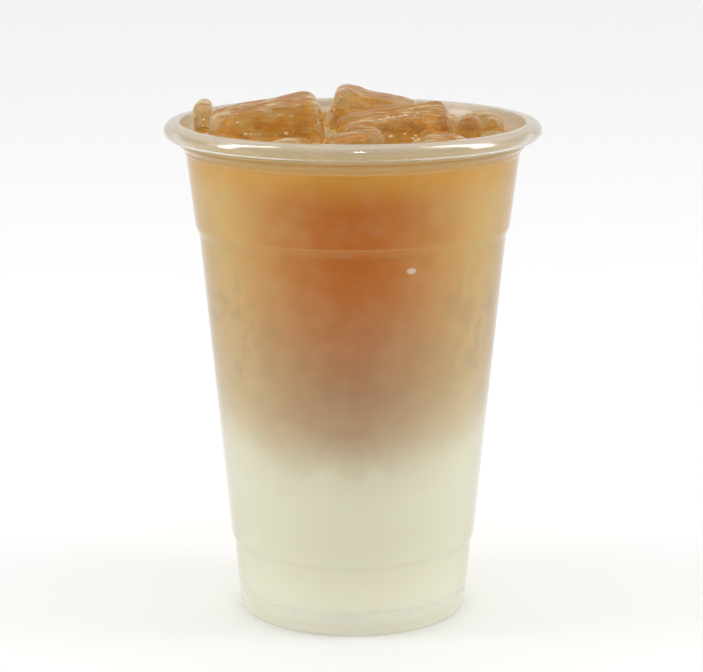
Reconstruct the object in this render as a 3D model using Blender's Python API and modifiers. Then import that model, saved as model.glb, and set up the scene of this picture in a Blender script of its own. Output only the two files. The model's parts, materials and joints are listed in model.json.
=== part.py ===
"""Iced milk tea in a clear takeaway cup: a lipped plastic cup, milk below, tea above, ice heaped over the rim.

The origin is the middle of the cup's foot, with +Z up. The front of the drink faces -Y.
"""

import math
import random

import bmesh
import bpy
from mathutils import Euler, Matrix, Vector

MM = 0.001

# Driving sizes of the cup
CUP_HEIGHT = 127.0 * MM
LIP_RADIUS = 47.5 * MM
WALL = 0.8 * MM
SEGMENTS = 64
ARC_STEPS = 4

# The lip: a round bead that sweeps down into the wall, and the mouth that flares up to it on the inside
BEAD_RADIUS = 2.1 * MM
BEAD_STEPS = 6
BEAD_END = -75.0
SWEEP_RADIUS = 4.2 * MM
SWEEP_START = 105.0
THROAT_DROP = 9.0 * MM
MOUTH_RADIUS = 43.4 * MM
MOUTH_FLARE = 2.2
MOUTH_ROLL = 0.5 * MM

# The outside of the wall where its taper changes, from the throat down to the foot: radius, height
THROAT_RADIUS = 41.9 * MM
SHOULDER_TOP = (39.85 * MM, 100.8 * MM)
SHOULDER_FOOT = (38.90 * MM, 98.6 * MM)
WAIST_TOP = (31.50 * MM, 19.8 * MM)
WAIST_FOOT = (30.80 * MM, 18.2 * MM)
HEEL_TOP = (29.95 * MM, 7.4 * MM)
HEEL_FOOT = (29.65 * MM, 6.8 * MM)

# The foot: a ring that the cup stands on, round a raised floor
FOOT_RADIUS = 29.2 * MM
FOOT_ROUND = 1.4 * MM
FOOT_RING = 1.7 * MM
FOOT_RECESS = 2.2 * MM
RECESS_SLOPE = 0.8 * MM
FLOOR = 1.1 * MM
FLOOR_CORNER = 2.6 * MM

# The drink: the milk's top is a shallow dish, and the tea turns up a little where it wets the wall
CLEARANCE = 0.3 * MM
TEA_LEVEL = 121.0 * MM
MILK_LEVEL = 49.0 * MM
LAYER_DISH = 3.0 * MM
LAYER_STEPS = 3
MENISCUS_RISE = 0.7 * MM
MENISCUS_WIDTH = 1.6 * MM
MENISCUS_STEPS = 2

# The ice, in mm and degrees: each piece's width, depth and height, its middle, and its turn about X, Y and Z
ICE = {
    "ice_left": ((28.4, 20.0, 20.0), (-20.8, -8.6, 122.2), (4.0, -8.5, 4.0)),
    "ice_left_chip": ((4.2, 8.0, 17.0), (-37.3, 5.6, 122.7), (0.0, -4.0, -8.0)),
    "ice_peak": ((23.5, 19.0, 20.0), (4.7, 12.4, 122.8), (2.0, 13.0, -4.0)),
    "ice_right": ((29.0, 16.0, 18.0), (10.8, -11.4, 121.3), (12.0, -4.5, 9.0)),
    "ice_front": ((15.0, 11.5, 14.0), (1.8, -30.4, 121.0), (10.0, -14.0, 4.0)),
    "ice_front_left": ((13.0, 10.0, 14.0), (-15.2, -29.2, 119.4), (8.0, -12.0, -24.0)),
    "ice_front_right": ((15.0, 10.0, 14.0), (20.6, -27.6, 120.1), (5.0, -4.0, 36.0)),
    "ice_right_chip": ((7.0, 9.0, 15.0), (29.0, 1.2, 120.4), (3.0, 8.0, -4.0)),
    "ice_back_right": ((8.5, 11.0, 15.0), (33.4, 13.4, 119.6), (-4.0, 5.0, 20.0)),
    "ice_back_left": ((19.0, 18.0, 19.0), (-22.0, 16.2, 117.4), (5.0, -4.0, 14.0)),
    "ice_back_middle": ((15.5, 10.5, 16.0), (-6.5, 32.0, 117.6), (-4.0, -5.0, 11.0)),
    "ice_back": ((15.5, 10.5, 16.0), (12.3, 31.2, 118.2), (-5.0, 6.0, -17.0)),
    "ice_back_corner": ((9.0, 10.0, 14.0), (25.0, 23.4, 118.4), (4.0, -5.0, 40.0)),
}
ICE_ROUND = 2.6 * MM
ICE_ROUND_SHARE = 0.3
ICE_ROUND_STEPS = 3
ICE_UNEVEN = 0.9 * MM
ICE_TAPER = 0.93
ICE_SHARP = 50.0
ICE_SEED = 11

# Finishes: red, green and blue, then roughness
CLEAR_PLASTIC = ((0.86, 0.87, 0.84), 0.12)
MILK_CREAM = ((0.80, 0.79, 0.66), 0.25)
TEA_AMBER = ((0.48, 0.22, 0.06), 0.15)
ICE_AMBER = ((0.66, 0.42, 0.18), 0.08)


def arc(centre, radius, first, last, steps=ARC_STEPS):
    """Points along an arc, as (radius from the axis, height), with angles in degrees from +X."""
    angles = [math.radians(first + (last - first) * i / steps) for i in range(steps + 1)]
    return [(centre[0] + radius * math.cos(a), centre[1] + radius * math.sin(a)) for a in angles]


def inset(point, distance):
    """The same station of the profile, nearer the axis."""
    return point[0] - distance, point[1]


def wall_stations():
    """The outside of the wall below the throat, top to bottom."""
    throat = (THROAT_RADIUS, CUP_HEIGHT - THROAT_DROP)
    return [throat, SHOULDER_TOP, SHOULDER_FOOT, WAIST_TOP, WAIST_FOOT, HEEL_TOP, HEEL_FOOT]


def inner_radius(height):
    """The wall's inside radius at a height below the throat."""
    stations = wall_stations() + [(FOOT_RADIUS, FOOT_ROUND)]
    for (r_high, z_high), (r_low, z_low) in zip(stations, stations[1:]):
        if z_low <= height <= z_high:
            share = (height - z_low) / (z_high - z_low)
            return r_low + (r_high - r_low) * share - WALL
    return THROAT_RADIUS - WALL


def mouth_radius(height):
    """The wall's inside radius between the throat and the top of the lip, where it flares."""
    share = (height - (CUP_HEIGHT - THROAT_DROP)) / THROAT_DROP
    throat = THROAT_RADIUS - WALL
    return throat + (MOUTH_RADIUS - throat) * max(share, 0.0) ** MOUTH_FLARE


def floor_height():
    """The upper side of the cup's floor."""
    return FOOT_RECESS + FLOOR


def floor_corner(gap):
    """The rounded corner on the inside, a gap in from it, from the floor out to the wall."""
    height = floor_height() + gap
    radius = FLOOR_CORNER - gap
    wall = inner_radius(height + radius) - gap
    return arc((wall - radius, height + radius), radius, -90, 0)


def cup_inside():
    """The inside of the cup, from the middle of its floor up to the top of the lip."""
    floor = [(0.0, floor_height())] + floor_corner(0.0)
    wall = [inset(p, WALL) for p in reversed(wall_stations()) if p[1] > floor_height() + FLOOR_CORNER]
    flare = [CUP_HEIGHT - THROAT_DROP * (1 - i / ARC_STEPS) for i in range(1, ARC_STEPS)]
    mouth = [(mouth_radius(z), z) for z in flare]
    mouth += [(MOUTH_RADIUS, CUP_HEIGHT - MOUTH_ROLL), (MOUTH_RADIUS + MOUTH_ROLL, CUP_HEIGHT)]
    return floor + wall + mouth


def cup_outside():
    """The outside of the cup, from the top of the lip down to the middle of its underside."""
    bead = arc((LIP_RADIUS - BEAD_RADIUS, CUP_HEIGHT - BEAD_RADIUS), BEAD_RADIUS, 90, BEAD_END, BEAD_STEPS)
    sweep = arc((THROAT_RADIUS + SWEEP_RADIUS, CUP_HEIGHT - THROAT_DROP), SWEEP_RADIUS, SWEEP_START, 180)
    foot = arc((FOOT_RADIUS - FOOT_ROUND, FOOT_ROUND), FOOT_ROUND, 0, -90)
    ring = FOOT_RADIUS - FOOT_ROUND - FOOT_RING
    recess = [(ring, 0.0), (ring - RECESS_SLOPE, FOOT_RECESS), (0.0, FOOT_RECESS)]
    return bead + sweep + wall_stations()[1:] + foot + recess


def layer_border(level, edge):
    """The dished border between milk and tea, from the axis out to the edge."""
    shares = [i / LAYER_STEPS for i in range(LAYER_STEPS + 1)]
    return [(edge * s, level - LAYER_DISH * (1 - s * s)) for s in shares]


def milk_profile():
    """Half the milk's section, from the middle of its top to the middle of its bottom."""
    surface = layer_border(MILK_LEVEL, inner_radius(MILK_LEVEL) - CLEARANCE)
    low = floor_height() + FLOOR_CORNER
    sides = [inset(p, WALL + CLEARANCE) for p in wall_stations() if low < p[1] < MILK_LEVEL]
    bottom = floor_corner(CLEARANCE)[::-1] + [(0.0, floor_height() + CLEARANCE)]
    return surface + sides + bottom


def tea_profile():
    """Half the tea's section, from the middle of its top to the middle of its bottom, which lies on the milk."""
    edge = mouth_radius(TEA_LEVEL) - CLEARANCE
    rise = [i / MENISCUS_STEPS for i in range(MENISCUS_STEPS + 1)]
    meniscus = [(edge - MENISCUS_WIDTH * (1 - s), TEA_LEVEL + MENISCUS_RISE * s * s) for s in rise]
    low = MILK_LEVEL + CLEARANCE
    sides = [inset(p, WALL + CLEARANCE) for p in wall_stations() if low < p[1] < TEA_LEVEL]
    border = layer_border(low, inner_radius(low) - CLEARANCE)[::-1]
    return [(0.0, TEA_LEVEL)] + meniscus + sides + border


def new_material(name, finish):
    colour, roughness = finish
    material = bpy.data.materials.new(name)
    material.use_nodes = True
    shader = material.node_tree.nodes["Principled BSDF"]
    shader.inputs["Base Color"].default_value = (*colour, 1.0)
    shader.inputs["Roughness"].default_value = roughness
    shader.inputs["Metallic"].default_value = 0.0
    return material


def new_collection(name):
    collection = bpy.data.collections.new(name)
    bpy.context.scene.collection.children.link(collection)
    return collection


def turned(name, profile, collection, material):
    """A round solid: the profile turned once about the Z axis."""
    mesh = bpy.data.meshes.new(name)
    points = [(r, 0.0, z) for r, z in profile]
    mesh.from_pydata(points, [(i, i + 1) for i in range(len(points) - 1)], [])
    mesh.materials.append(material)
    body = bpy.data.objects.new(name, mesh)
    collection.objects.link(body)
    screw = body.modifiers.new("turn", "SCREW")
    screw.steps = screw.render_steps = SEGMENTS
    screw.use_merge_vertices = True
    screw.merge_threshold = 0.01 * MM
    screw.use_smooth_shade = True
    return body


def melted_block(name, piece, collection, grow=0.0):
    """A piece of ice: a block with uneven corners and rounded edges. grow moves each face outwards."""
    size, middle, turn = ICE[piece]
    block = bmesh.new()
    bmesh.ops.create_cube(block, size=1.0)
    uneven = random.Random(f"{ICE_SEED} {piece}")
    for corner in block.verts:
        taper = ICE_TAPER if corner.co.z > 0 else 1.0
        corner.co = Vector((corner.co.x * taper, corner.co.y * taper, corner.co.z))
        corner.co = Vector(c * s * MM for c, s in zip(corner.co, size))
        corner.co += Vector(uneven.uniform(-1, 1) * ICE_UNEVEN for _ in range(3))
        corner.co += Vector(math.copysign(grow, c) for c in corner.co)
    bmesh.ops.bevel(
        block,
        geom=list(block.edges),
        offset=min(ICE_ROUND, ICE_ROUND_SHARE * min(size) * MM),
        segments=ICE_ROUND_STEPS,
        profile=0.5,
        affect="EDGES",
    )
    bmesh.ops.triangulate(block, faces=block.faces)
    rotation = Euler([math.radians(angle) for angle in turn]).to_matrix().to_4x4()
    block.transform(Matrix.Translation(Vector(middle) * MM) @ rotation)
    mesh = bpy.data.meshes.new(name)
    block.to_mesh(mesh)
    block.free()
    mesh.shade_smooth()
    mesh.set_sharp_from_angle(angle=math.radians(ICE_SHARP))
    body = bpy.data.objects.new(name, mesh)
    collection.objects.link(body)
    return body


def clear_scene():
    for old in list(bpy.data.objects):
        bpy.data.objects.remove(old, do_unlink=True)


def build_ice(drink, pockets):
    """Every piece of ice, and the pocket that each makes in the tea."""
    amber = new_material("ice", ICE_AMBER)
    for piece in ICE:
        melted_block(piece, piece, drink).data.materials.append(amber)
        pocket = melted_block(piece + "_pocket", piece, pockets, grow=CLEARANCE)
        pocket.hide_render = True
        pocket.display_type = "WIRE"


def build_tea(drink, pockets):
    """The tea, with the ice's pockets cut out of it."""
    tea = turned("tea", tea_profile(), drink, new_material("tea", TEA_AMBER))
    cut = tea.modifiers.new("pockets", "BOOLEAN")
    cut.operation = "DIFFERENCE"
    cut.operand_type = "COLLECTION"
    cut.collection = pockets


def main():
    clear_scene()
    drink = new_collection("iced_milk_tea")
    pockets = new_collection("ice_pockets")
    turned("cup", cup_inside() + cup_outside(), drink, new_material("clear_plastic", CLEAR_PLASTIC))
    turned("milk", milk_profile(), drink, new_material("milk", MILK_CREAM))
    build_ice(drink, pockets)
    build_tea(drink, pockets)


main()
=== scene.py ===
"""Dresses the iced milk tea: clear cup, melting ice, layered drink and bubbles, and the stage it stands on.

The frame is loaded once, at the top. Each piece or group of like pieces has an operator, and main runs them
in order. Lengths are in metres, the cup stands on Z = 0 and its front faces -Y.
"""

import json
import math

import bmesh
import bpy
from bpy.props import FloatProperty, FloatVectorProperty, IntProperty, PointerProperty
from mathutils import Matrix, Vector

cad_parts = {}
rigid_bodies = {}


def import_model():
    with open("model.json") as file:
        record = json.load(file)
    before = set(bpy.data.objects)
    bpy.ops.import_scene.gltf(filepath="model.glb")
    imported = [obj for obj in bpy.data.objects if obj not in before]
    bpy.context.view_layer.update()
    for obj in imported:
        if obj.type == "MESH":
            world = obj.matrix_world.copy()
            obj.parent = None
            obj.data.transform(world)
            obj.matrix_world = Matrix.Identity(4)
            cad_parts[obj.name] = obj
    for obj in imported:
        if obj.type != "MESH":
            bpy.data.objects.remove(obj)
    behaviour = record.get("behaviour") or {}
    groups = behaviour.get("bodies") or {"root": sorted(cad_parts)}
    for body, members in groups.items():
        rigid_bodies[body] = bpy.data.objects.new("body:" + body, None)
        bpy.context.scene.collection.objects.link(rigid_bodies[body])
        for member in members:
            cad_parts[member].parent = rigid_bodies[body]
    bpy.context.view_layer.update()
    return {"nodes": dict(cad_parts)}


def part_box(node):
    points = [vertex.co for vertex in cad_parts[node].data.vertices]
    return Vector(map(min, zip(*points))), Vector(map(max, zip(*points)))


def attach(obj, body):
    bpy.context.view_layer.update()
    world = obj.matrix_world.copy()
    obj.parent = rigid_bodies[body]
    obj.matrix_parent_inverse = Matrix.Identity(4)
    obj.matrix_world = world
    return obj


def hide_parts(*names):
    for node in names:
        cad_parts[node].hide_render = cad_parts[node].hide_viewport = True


bl_info = {
    "name": "Iced milk tea",
    "version": (1, 0, 0),
    "blender": (4, 5, 0),
    "location": "3D View > Sidebar > Milk tea",
    "description": "Builds the looks of an iced milk tea in a clear cup round its frame",
    "category": "Object",
}

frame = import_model()
MM = 0.001
BODY = "root"

# The cup's and the drink's reach, read from the frame
CUP_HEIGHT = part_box("cup")[1].z
LIP_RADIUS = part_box("cup")[1].x
TEA_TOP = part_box("tea")[1].z
ICE_NODES = sorted(name for name in frame["nodes"] if name.startswith("ice_"))

# The cup's section: a hollow lip, rolled out over the wall, which sweeps in under it down to the throat
LIP_SHEET = 0.55 * MM
BEAD_RADIUS = 2.1 * MM
BEAD_END = -75.0
SWEEP_RADIUS = 4.2 * MM
THROAT_DROP = 9.0 * MM
THROAT_RADIUS = 41.9 * MM
MOUTH_RADIUS = 43.4 * MM
MOUTH_ROLL = 0.5 * MM
ARC_STEPS = 14

# A fine ridge round the throat, and its section: place up or down, share of its rise
RIDGE_HEIGHT = 119.5 * MM
RIDGE_RISE = 0.16 * MM
RIDGE_HALF = 0.35 * MM
RIDGE_SHAPE = [(1.0, 0.0), (0.4, 0.9), (-0.2, 1.0), (-0.6, 0.4), (-1.0, 0.0)]

# The outside of the wall below the throat, where its taper changes: radius, height
SHOULDER_TOP = (39.85 * MM, 100.8 * MM)
SHOULDER_FOOT = (38.90 * MM, 98.6 * MM)
WAIST_TOP = (31.50 * MM, 19.8 * MM)
WAIST_FOOT = (30.80 * MM, 18.2 * MM)
HEEL_TOP = (29.95 * MM, 7.4 * MM)
HEEL_FOOT = (29.65 * MM, 6.8 * MM)
FOOT_RADIUS = 29.2 * MM
FOOT_ROUND = 1.4 * MM
FOOT_RING = 1.7 * MM
FOOT_RECESS = 2.2 * MM
RECESS_SLOPE = 0.8 * MM
FLOOR = 1.1 * MM
FLOOR_CORNER = 2.6 * MM
WALL_REACH = 0.45 * MM
RECESS_REACH = 0.3 * MM
CORNER_STEPS = 6

# Half the height of the pale line along the shoulder, a painted highlight
SHOULDER_LINE = 0.4 * MM

# Where the plastic's cloud changes, from and to: up into the lip, up out of the foot, from beside the milk to
# beside the tea, up to where a film of tea starts, and out through the mouth where it ends
LIP_TURN = (CUP_HEIGHT - 4.2 * MM, CUP_HEIGHT - 1.2 * MM)
FOOT_TURN = (3.5 * MM, 8.5 * MM)
HAZE_TURN = (42.0 * MM, 74.0 * MM)
FILM_START = (TEA_TOP - 1.0 * MM, TEA_TOP)
FILM_END = (MOUTH_RADIUS + 0.05 * MM, MOUTH_RADIUS + 0.2 * MM)

# How finely the round pieces are turned, and how near two points are one
TURN_STEPS = 224
WELD = 0.002 * MM

# The drink's surface, and how far the tea climbs where it wets the wall
DRINK_RISE = 0.7 * MM
MENISCUS_WIDTH = 1.6 * MM
SURFACE_RINGS = 84

# How much of the drink is tea, over the height where it fades: place in the fade, share of tea
FADE = [(0.0, 0.0), (0.12, 0.10), (0.27, 0.56), (0.36, 0.71), (0.53, 0.82), (0.70, 0.90), (1.0, 1.0)]

# Bands of painted shade down the tea, standing in for the darker middle that a cloudy drink shows face on:
# bearing from the front towards the right, in degrees, and strength. A plume ends where the cosine of the
# angle to its bearing is less than this.
SHADE_PLUMES = {0: 1.0, 118: 0.8, 236: 0.9}
SHADE_PLUME_END = 0.55

# Heights where the drink's colours turn, from and to: out of the low milk, from low tea to deep, from the low
# sides to the high, to the tea under the rim, to its surface, to its edge, into the patches and out of them
LOW_MILK_TURN = (4.0 * MM, 24.0 * MM)
DEEP_TURN = (60.0 * MM, 90.0 * MM)
SIDE_TURN = (66.0 * MM, 104.0 * MM)
HIGH_TURN = (109.0 * MM, 121.0 * MM)
TOP_TURN = (TEA_TOP - 1.5 * MM, TEA_TOP - 1.1 * MM)
EDGE_TURN = (TEA_TOP - 3.2 * MM, TEA_TOP - 1.2 * MM)
PATCHES_START = (40.0 * MM, 60.0 * MM)
PATCHES_END = (78.0 * MM, 102.0 * MM)

# How far out on its surface the tea's edge starts, from and to
EDGE_REACH = (THROAT_RADIUS - 3.5 * MM, THROAT_RADIUS - 1.2 * MM)

# Air bubbles inside the wall: height, bearing from the front towards the right, half width, half height
WALL_BUBBLES = [(95.3 * MM, 21.5, 1.3 * MM, 0.9 * MM)]
BUBBLE_INTO = 0.65 * MM

# Rows of small bubbles on the ice: the piece, from, to, how many. The second and third rows stand where the
# ice glints, so their pale skins partly stand in for those glints, as painted highlights
BUBBLE_ROWS = [
    ("ice_right", (6.5 * MM, -16.4 * MM, 129.2 * MM), (18.0 * MM, -14.2 * MM, 130.6 * MM), 15),
    ("ice_right", (8.4 * MM, -20.7 * MM, 126.4 * MM), (16.0 * MM, -19.6 * MM, 125.4 * MM), 5),
    ("ice_left_chip", (-37.1 * MM, 1.8 * MM, 127.5 * MM), (-37.0 * MM, 1.8 * MM, 123.0 * MM), 4),
    ("ice_left", (-27.0 * MM, -18.7 * MM, 126.0 * MM), (-14.0 * MM, -18.5 * MM, 126.3 * MM), 6),
]

# The ice's meshes
ICE_VOXEL = 0.55 * MM
POCKET_INSET = 0.2 * MM
POCKET_VOXEL = 0.9 * MM

# Marks that each piece of ice carries for its material: how much a spot is a ridge, how dark its ridges are
# painted. The dark ridges are painted shade; where the tone is light they are painted pale, as painted
# highlights
RIDGE_MARK = "ridge"
TONE_MARK = "tone"
RIDGE_SCALE = 0.25 * MM
RIDGE_BLUR = 8
SHADED_RIDGES = {"ice_right": 0.55, "ice_front": 0.25, "ice_right_chip": 0.4}
USUAL_RIDGE_SHADE = 0.08

# How the ice's fine streaks lie: a share under 1 draws them out along that axis
STREAK_DRAW = (0.22, 0.8, 1.0)


class Socket:
    """A node's output. Python's operators on it add Math nodes."""

    def __init__(self, nodes, output):
        self.nodes = nodes
        self.output = output

    def math(self, operation, *values):
        return self.nodes.add("ShaderNodeMath", {"operation": operation}, dict(enumerate(values)))

    def __add__(self, other):
        return self.math("ADD", self, other)

    def __sub__(self, other):
        return self.math("SUBTRACT", self, other)

    def __rsub__(self, other):
        return self.math("SUBTRACT", other, self)

    def __mul__(self, other):
        return self.math("MULTIPLY", self, other)

    def __truediv__(self, other):
        return self.math("DIVIDE", self, other)

    def __rtruediv__(self, other):
        return self.math("DIVIDE", other, self)

    def __pow__(self, other):
        return self.math("POWER", self, other)

    def __rpow__(self, other):
        return self.math("POWER", other, self)

    __radd__ = __add__
    __rmul__ = __mul__

    def between(self, low, high):
        """0 where the value is under low, 1 where it is over high, and a smooth step between the two."""
        ends = {"Value": self, "From Min": low, "From Max": high}
        return self.nodes.add("ShaderNodeMapRange", {"interpolation_type": "SMOOTHSTEP"}, ends)

    def or_else(self, other):
        return self.math("MAXIMUM", self, other)


class Nodes:
    """A node tree under construction, for a material or for geometry."""

    def __init__(self, tree):
        self.tree = tree

    def add(self, kind, settings=None, inputs=None, output=0):
        """Adds a node, makes its settings, then fills its sockets with values or links. Gives one output."""
        node = self.tree.nodes.new(kind)
        for key, value in (settings or {}).items():
            if key == "stops":
                self.set_stops(node.color_ramp, value)
            else:
                setattr(node, key, value)
        for key, value in (inputs or {}).items():
            socket = self.find(node.inputs, key)
            if isinstance(value, Socket):
                self.tree.links.new(value.output, socket)
            else:
                socket.default_value = value
        return Socket(self, self.find(node.outputs, output)) if node.outputs else node

    @staticmethod
    def find(sockets, key):
        """The socket in use that has this name, or this place in the node."""
        if isinstance(key, int):
            return sockets[key]
        return next(s for s in sockets if s.name == key and not s.is_unavailable)

    @staticmethod
    def set_stops(ramp, stops):
        while len(ramp.elements) < len(stops):
            ramp.elements.new(0.5)
        for element, (place, colour) in zip(ramp.elements, stops):
            element.position = place
            element.color = (*colour, 1.0)

    def vector_math(self, operation, inputs, output="Vector"):
        return self.add("ShaderNodeVectorMath", {"operation": operation}, inputs, output)

    def coordinates(self):
        return self.add("ShaderNodeTexCoord", output="Object")

    def axes(self, vector):
        """The X, Y and Z of a vector."""
        x = self.add("ShaderNodeSeparateXYZ", {}, {"Vector": vector}, "X")
        return [x] + [Socket(self, x.output.node.outputs[name]) for name in "YZ"]

    def facing(self, x, y, bearing):
        """The cosine of the angle to a bearing, in degrees from the front towards the right."""
        turn = math.radians(bearing)
        return (x * math.sin(turn) - y * math.cos(turn)) / (x * x + y * y) ** 0.5

    def noise(self, vector, size, detail=2.0, roughness=0.5, distortion=0.0):
        """Noise from 0 to 1 whose lumps are about the given size."""
        inputs = {
            "Vector": vector,
            "Scale": 1.0 / size,
            "Detail": detail,
            "Roughness": roughness,
            "Distortion": distortion,
        }
        return self.add("ShaderNodeTexNoise", {}, inputs)

    def blend(self, share, first, second):
        """A mix of two colours."""
        inputs = {"Factor": share, "A": first, "B": second}
        return self.add("ShaderNodeMix", {"data_type": "RGBA"}, inputs, "Result")

    def principled(self, inputs):
        return self.add("ShaderNodeBsdfPrincipled", {}, inputs)

    def mixed(self, share, first, second):
        """A mix of two shaders."""
        return self.add("ShaderNodeMixShader", {}, {0: share, 1: first, 2: second})

    def bump(self, height, distance, strength=1.0):
        inputs = {"Height": height, "Distance": distance, "Strength": strength}
        return self.add("ShaderNodeBump", {}, inputs)

    def lamps_through(self, surface, tint):
        """The surface, which lets the lamps' light and scattered light pass straight through."""
        ray = self.add("ShaderNodeLightPath", output="Is Shadow Ray")
        diffuse = Socket(self, ray.output.node.outputs["Is Diffuse Ray"])
        clear = self.add("ShaderNodeBsdfTransparent", {}, {"Color": rgb(tint)})
        return self.mixed(ray.or_else(diffuse), surface, clear)

    def surface_of(self, target):
        """The mesh of another object, for a geometry tree."""
        return self.add(
            "GeometryNodeObjectInfo",
            {"transform_space": "RELATIVE"},
            {"Object": target},
            "Geometry",
        )

    def surface(self, shader):
        self.add("ShaderNodeOutputMaterial", {}, {"Surface": shader})


def new_material(name):
    """An empty material and the nodes to fill it."""
    material = bpy.data.materials.new(name)
    material.use_nodes = True
    material.node_tree.nodes.clear()
    return material, Nodes(material.node_tree)


def rgb(colour):
    return (*colour, 1.0)


def clear_plastic(cup):
    """Moulded polypropylene: clear and glossy, with a cloud that shows most at the thick lip and foot."""
    material, nodes = new_material("clear_plastic")
    place = nodes.coordinates()
    x, y, z = nodes.axes(place)
    cloud = nodes.noise(place, 9.0 * MM, detail=1.0)
    edge = nodes.add("ShaderNodeLayerWeight", {}, {"Blend": 0.5}, "Facing")
    lip = z.between(*LIP_TURN)
    foot = 1.0 - z.between(*FOOT_TURN)
    # Painted highlights: extra cloud along the throat's ridge and the shoulder paints pale lines there
    ridge = 1.0 - ((z - RIDGE_HEIGHT) / RIDGE_HALF) ** 2.0
    shoulder = 1.0 - ((z - SHOULDER_TOP[1]) / SHOULDER_LINE) ** 2.0
    seam_highlights = (1.6 * ridge).or_else(shoulder).or_else(0.0) * cup.seam_highlight_cloud
    reach = (x * x + y * y) ** 0.5
    wet = z.between(*FILM_START) * (1.0 - reach.between(*FILM_END))
    film = wet * (1.0 - 0.6 * z.between(TEA_TOP, CUP_HEIGHT)) * cup.film
    shell = {
        "Base Color": nodes.blend(edge.between(0.5, 0.85), rgb(cup.tint), rgb(cup.edge_tint)),
        "Roughness": 0.03 + 0.05 * cloud + 0.3 * wet,
        "IOR": 1.34,
        "Transmission Weight": 1.0,
    }
    clear = nodes.principled(shell)
    # Painted light and shade: the cloud takes the colours of the drink's light showing through it, cream
    # beside the milk and tan beside the tea, and over the tea it darkens towards the silhouette as painted
    # shade
    over_tea = nodes.blend(edge.between(0.36, 0.56) * cup.edge_shade, rgb(cup.tea_lit_haze), rgb(cup.shade))
    side = nodes.blend(z.between(*HAZE_TURN), rgb(cup.milk_lit_haze), over_tea)
    # Painted light: the foot's cloud is painted a bright cream and the lip's a tan, as the drink's light
    # through them
    side = nodes.blend(foot, side, rgb(cup.milk_lit_foot_haze))
    milky = {
        "Base Color": nodes.blend(wet, nodes.blend(lip, side, rgb(cup.tea_lit_lip_haze)), rgb(cup.film_colour)),
        "Roughness": 0.1 + 0.4 * wet,
        "IOR": 1.49,
    }
    cloudy = nodes.principled(milky)
    # The cloudiest of the wall, the ridge and shoulder lines with their painted highlights, the lip, the foot
    # and the film sets how much cloud shows
    slant = (edge - cup.haze_start).or_else(0.0)
    thin = cup.edge_haze * slant ** 0.75
    haze = thin.or_else(seam_highlights).or_else(cup.lip_cloud * lip).or_else(cup.foot_cloud * foot).or_else(film)
    shader = nodes.mixed(haze, clear, cloudy)
    nodes.surface(nodes.lamps_through(shader, cup.tint))
    return material


def layered_drink(drink):
    """Cream milk that fades up into amber tea, cloudy, with faint wisps where the two meet."""
    material, nodes = new_material("layered_drink")
    place = nodes.coordinates()
    x, y, z = nodes.axes(place)
    wisps = nodes.noise(place, 16.0 * MM, detail=3.0, roughness=0.6, distortion=0.6)
    mottle = nodes.noise(place, 6.0 * MM, detail=4.0, roughness=0.6)
    swell = (x / LIP_RADIUS) ** 2.0 * drink.side_rise
    height = z - swell + (wisps - 0.5) * drink.wisps + (mottle - 0.5) * (0.5 * drink.wisps)
    share = (height - drink.fade_low) / (drink.fade_high - drink.fade_low)
    stops = [(stop, (value, value, value)) for stop, value in FADE]
    tea_share = nodes.add("ShaderNodeValToRGB", {"stops": stops}, {"Fac": share})
    top = z.between(*TOP_TURN)
    wet = {
        "Roughness": 0.8 - 0.7 * top,
        "IOR": 1.34,
        "Specular IOR Level": 0.05,
        "Coat Weight": 0.7 * top,
        "Coat Roughness": 0.04,
        "Coat IOR": 1.34,
    }
    milk = {
        **wet,
        "Base Color": nodes.blend(z.between(*LOW_MILK_TURN), rgb(drink.foot_colour), rgb(drink.milk_colour)),
        "Subsurface Weight": 1.0,
        "Subsurface Radius": drink.milk_scatter,
        "Subsurface Scale": drink.milk_depth,
    }
    # Painted shade: plumes of darker tea down three sides, with paler tea between them
    shaded = None
    for bearing, strength in SHADE_PLUMES.items():
        towards = (nodes.facing(x, y, bearing) - SHADE_PLUME_END) / (1.0 - SHADE_PLUME_END)
        plume = towards.or_else(0.0) ** 1.5 * strength
        shaded = plume if shaded is None else shaded.or_else(plume)
    shaded_tea = nodes.blend(height.between(*DEEP_TURN), rgb(drink.low_colour), rgb(drink.deep_colour))
    side = nodes.blend(height.between(*SIDE_TURN), rgb(drink.side_colour), rgb(drink.tea_colour))
    amber = nodes.blend(shaded, side, shaded_tea)
    amber = nodes.blend(z.between(*HIGH_TURN), amber, rgb(drink.high_colour))
    amber = nodes.blend(top, amber, rgb(drink.top_colour))
    drift = nodes.blend((mottle - 0.42).or_else(0.0) * drink.clouds, amber, rgb(drink.cloud_colour))
    middle = z.between(*PATCHES_START) * (1.0 - z.between(*PATCHES_END))
    murk = (0.52 - mottle).or_else(0.0) * (1.0 - shaded) * middle * drink.murk
    tea = {
        **wet,
        "Base Color": nodes.blend(murk, drift, rgb(drink.murk_colour)),
        "Subsurface Weight": 1.0,
        "Subsurface Radius": drink.tea_scatter,
        "Subsurface Scale": drink.tea_depth,
    }
    # The thin edge of the tea would glow if light spread in it
    brim = {**wet, "Base Color": rgb(drink.edge_colour)}
    below = nodes.principled(milk)
    above = nodes.principled(tea)
    edge = nodes.principled(brim)
    reach = (x * x + y * y) ** 0.5
    rim = z.between(*EDGE_TURN) * reach.between(*EDGE_REACH)
    nodes.surface(nodes.mixed(rim, nodes.mixed(tea_share, below, above), edge))
    return material


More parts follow.
